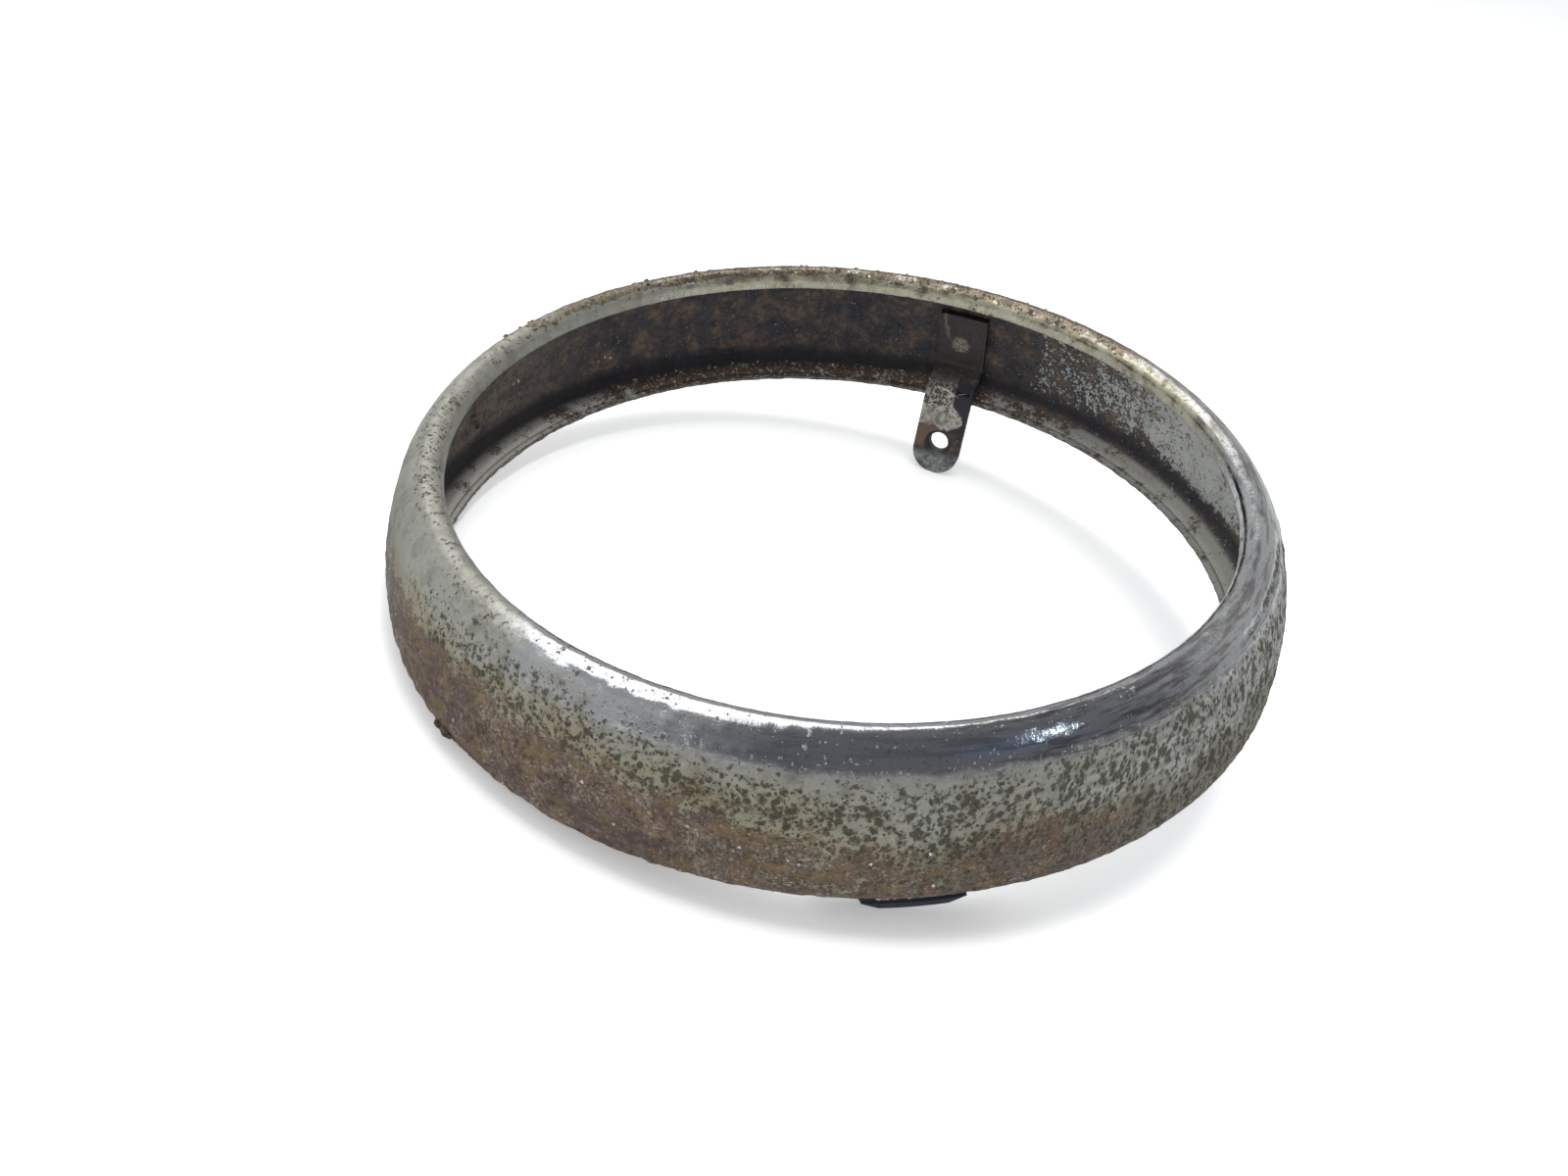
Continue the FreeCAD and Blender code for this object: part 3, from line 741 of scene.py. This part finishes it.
def makeCrumbs():
    given = crumbSet
    section = rimSection(1.0)[given["edgePoints"] :]
    chance = np.random.default_rng(given["seed"])
    shell = bmesh.new()
    layer = shell.verts.layers.float.new("tone")
    for side, fromTurn, toTurn, fromHeight, toHeight, count, small, large, pale in given["groups"]:
        for _ in range(count):
            turn = math.radians(chance.uniform(fromTurn, toTurn))
            height = chance.uniform(fromHeight, toHeight)
            row = section[np.argmin(np.abs(section[:, 1] - height))]
            sink = rimSet["gauge"] if side == "inner" else 0.0
            way = -1 if side == "inner" else 1
            radius = row[0] - sink * row[2]
            level = row[1] - sink * row[3] + rimSet["seat"]
            size = chance.uniform(small, large)
            east = math.cos(turn)
            north = math.sin(turn)
            out = Vector((row[2] * east, row[2] * north, row[3])) * way
            centre = Vector((radius * east, radius * north, level)) + out * size * given["proud"]
            tone = min(1.0, max(0.0, pale + chance.normal(0, given["paleSpread"])))
            made = bmesh.ops.create_icosphere(shell, subdivisions=2, radius=1.0)["verts"]
            offset = Vector(chance.uniform(-50, 50, 3))
            for vertex in made:
                bump = noise.noise(vertex.co * given["lumpGrain"] + offset)
                shape = vertex.co * (1 + given["lumps"] * bump)
                shape -= out * shape.dot(out) * given["flattened"]
                vertex.co = (centre + shape * size) * mm
                vertex[layer] = tone
    mesh = bpy.data.meshes.new("crumbs")
    shell.to_mesh(mesh)
    shell.free()
    coat = Finish("crumbGrain")
    grit = coat.cloud(coat.place(), 0.3, 2)
    stops = [
        (0.0, tint(60, 48, 42)),
        (0.45, tint(118, 98, 80)),
        (0.75, tint(196, 172, 138)),
        (1.0, tint(232, 228, 216)),
    ]
    shade = coat.ramp(coat.wear("tone") + (grit - 0.5) * 0.2, stops)
    mesh.materials.append(coat.surface(Base_Color=shade, Roughness=0.7))
    crumbs = bpy.data.objects.new("crumbs", mesh)
    bpy.context.scene.collection.objects.link(crumbs)
    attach(crumbs, "root")
    return crumbs


crumbPiece = makeCrumbs()
print("crumbs made:", len(crumbPiece.data.polygons), "faces")


# Lug and plate keep their solids and get their finishes; lifted strips of plating show at the lug's slit,
# painted pale to stand in for the glint there (painted highlight)
lugSet = {
    # places on the lug in mm: across it, and in height over the part's lowest point
    "holeAcross": -0.45,
    "holeHeight": 7.9,
    "spotAcross": -0.2,
    "spotHeight": 32.6,
    "lobeHeight": 15.2,
    "lobeReach": 3.4,
    # each sliver: where it starts, where it ends, and its width
    "glintSlivers": (
        ((-0.3, 21.0), (4.2, 22.35), 0.55),
        ((-6.1, 24.0), (-5.6, 19.5), 0.3),
        ((-2.0, 22.6), (2.6, 21.3), 0.4),
    ),
    "sliverLift": 0.12,
    # how far out the strap's face is, where a sliver starts or ends past its edge
    "faceReach": 80.5,
}


def makeGlintSlivers():
    given = lugSet
    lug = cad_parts["fixing_lug"]
    outward = Vector((0.0, 1.0, 0.0))
    steps = 6
    sides = 6
    shell = bmesh.new()
    for start, end, width in given["glintSlivers"]:
        centres = []
        for x, z in (start, end):
            hit, point, _, _ = lug.ray_cast(Vector((x * mm, 0.0, z * mm)), outward)
            centres.append(point if hit else Vector((x * mm, given["faceReach"] * mm, z * mm)))
        rings = []
        for step in range(steps + 1):
            part = step / steps
            middle = centres[0].lerp(centres[1], part)
            swelling = 0.25 + 0.75 * math.sin(math.pi * min(part * 1.2 + 0.12, 1.0))
            half = width * mm * swelling / 2
            middle.y -= given["sliverLift"] * mm
            ring = []
            for side in range(sides):
                turn = side * 2 * math.pi / sides + part
                spoke = Vector((0, 0.6 * half * math.cos(turn), half * math.sin(turn)))
                ring.append(shell.verts.new(middle + spoke))
            rings.append(ring)
        for one, two in zip(rings, rings[1:]):
            for side in range(sides):
                beside = (side + 1) % sides
                shell.faces.new((one[side], one[beside], two[beside], two[side]))
        shell.faces.new(rings[0][::-1])
        shell.faces.new(rings[-1])
    bmesh.ops.recalc_face_normals(shell, faces=shell.faces[:])
    mesh = bpy.data.meshes.new("glintSlivers")
    shell.to_mesh(mesh)
    shell.free()
    coat = Finish("liftedPlatingPaintedGlint")
    grit = coat.cloud(coat.place(), 0.8, 2)
    # painted highlight: the pale tone stands in for the glint at the slit, on lifted plating
    shade = coat.ramp(grit, [(0.4, tint(214, 212, 204)), (0.6, tint(236, 235, 230))])
    mesh.materials.append(coat.surface(Base_Color=shade, Roughness=0.5))
    glintSlivers = bpy.data.objects.new("glintSlivers", mesh)
    bpy.context.scene.collection.objects.link(glintSlivers)
    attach(glintSlivers, "root")


makeGlintSlivers()
print("slivers made")


def lugFinish():
    given = lugSet
    coat = Finish("flakedSteel")
    place = coat.place()
    east = coat.add("ShaderNodeSeparateXYZ", {}, {0: place}, "X")
    across = east * (1 / mm)
    height = coat.other(east, "Z") * (1 / mm)
    patchy = coat.cloud(place, 5, 4, 0.6)
    fine = coat.cloud(place, 1.2, 5, 0.65)
    speck = coat.cloud(place, 0.5, 3)
    ragged = (patchy - 0.5) * 4 + (fine - 0.5) * 4
    brownStops = [(0.4, tint(46, 41, 42)), (0.5, tint(70, 61, 58)), (0.6, tint(104, 86, 74))]
    brown = coat.ramp(fine * 0.6 + speck * 0.4, brownStops)
    # painted shade: the strap darker towards the top, where it runs up into the shadow under the rim
    tone = coat.blend(height.rise(24, 27) * 0.6, brown, tint(58, 54, 55))
    # a pale flaked spot high on the strap, and a thin pale streak beside it
    right = across - given["spotAcross"]
    above = height - given["spotHeight"]
    spot = (right * right + above * above + ragged * 3).rise(8.0, 3.0) * speck.rise(0.42, 0.52)
    tone = coat.blend(spot * 0.85, tone, tint(168, 156, 140))
    left = across + (fine - 0.5) * 3 + 4.1 + (height - 37) * 0.22
    line = (left * left).rise(0.25, 0.03) * height.rise(33, 35)
    tone = coat.blend(line * 0.5, tone, tint(150, 140, 128))
    # the old plating clings as a lobe on the left of the leg; black paint is left on its right
    swell = (height - given["lobeHeight"]) * (1 / given["lobeReach"])
    edge = 1.5 + 3.3 * (1 - swell * swell).atLeast(0.0) + ragged * 0.35
    body = (height + ragged * 0.6).rise(11.6, 12.6) * (height + ragged).rise(24.8, 23.0)
    lobe = body * (edge - across).rise(-0.15, 0.15)
    paint = (height + ragged * 0.3).rise(11.0, 12.0) * (height + ragged * 0.2).rise(24.2, 23.7)
    tone = coat.blend(paint, tone, tint(46, 46, 53))
    platingStops = [(0.42, tint(140, 138, 130)), (0.5, tint(182, 178, 168)), (0.58, tint(206, 201, 190))]
    tone = coat.blend(lobe, tone, coat.ramp(patchy * 0.5 + fine * 0.5, platingStops))
    flaked = height.rise(15.5, 18.0) * 0.8 + 0.2
    holes = (speck * 0.5 + fine * 0.5).rise(0.5, 0.46) * flaked
    tone = coat.blend(lobe * holes, tone, tint(88, 74, 66))
    # brown left of the hole, dark ring round it, bare grey tip
    torn = height + ragged
    rust = torn.rise(13.0, 11.6) * torn.rise(6.0, 8.0) * (0.6 - across).rise(0.0, 1.6)
    tone = coat.blend(rust * 0.8, tone, tint(120, 98, 82))
    right = across - given["holeAcross"]
    above = height - given["holeHeight"]
    ring = (right * right + above * above + ragged * 1.5).rise(15.0, 11.0)
    tone = coat.blend(ring * 0.85, tone, tint(50, 46, 46))
    tip = (height + ragged * 0.5).rise(6.4, 4.2)
    tipStops = [(0.4, tint(92, 94, 96)), (0.5, tint(132, 136, 138)), (0.6, tint(178, 180, 178))]
    tone = coat.blend(tip * 0.9, tone, coat.ramp(fine * 0.6 + patchy * 0.4, tipStops))
    metal = (lobe * (1 - holes) * 0.3 + tip * 0.5).held()
    roughness = 0.45 + fine * 0.25 - tip * 0.1
    normal = coat.relief(fine * 0.4 + lobe * (1 - holes) * 1.2 + speck * 0.25, 0.22)
    return coat.surface(Base_Color=tone, Metallic=metal, Roughness=roughness, Normal=normal)


def plateFinish():
    coat = Finish("blueBlackPaint")
    place = coat.place()
    patchy = coat.cloud(place, 8, 3)
    fine = coat.cloud(place, 0.8, 3)
    tone = coat.ramp(patchy, [(0.35, tint(76, 80, 90)), (0.65, tint(98, 101, 110))])
    roughness = fine * 0.2 + 0.35
    normal = coat.relief(fine, 0.06)
    return coat.surface(Base_Color=tone, Metallic=0.0, Roughness=roughness, Normal=normal)


def dress(node, material):
    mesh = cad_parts[node].data
    mesh.materials.clear()
    mesh.materials.append(material)


dress("fixing_lug", lugFinish())
dress("hook_plate", plateFinish())
print("lug and plate dressed")

bpy.context.scene.view_settings.view_transform = "Standard"
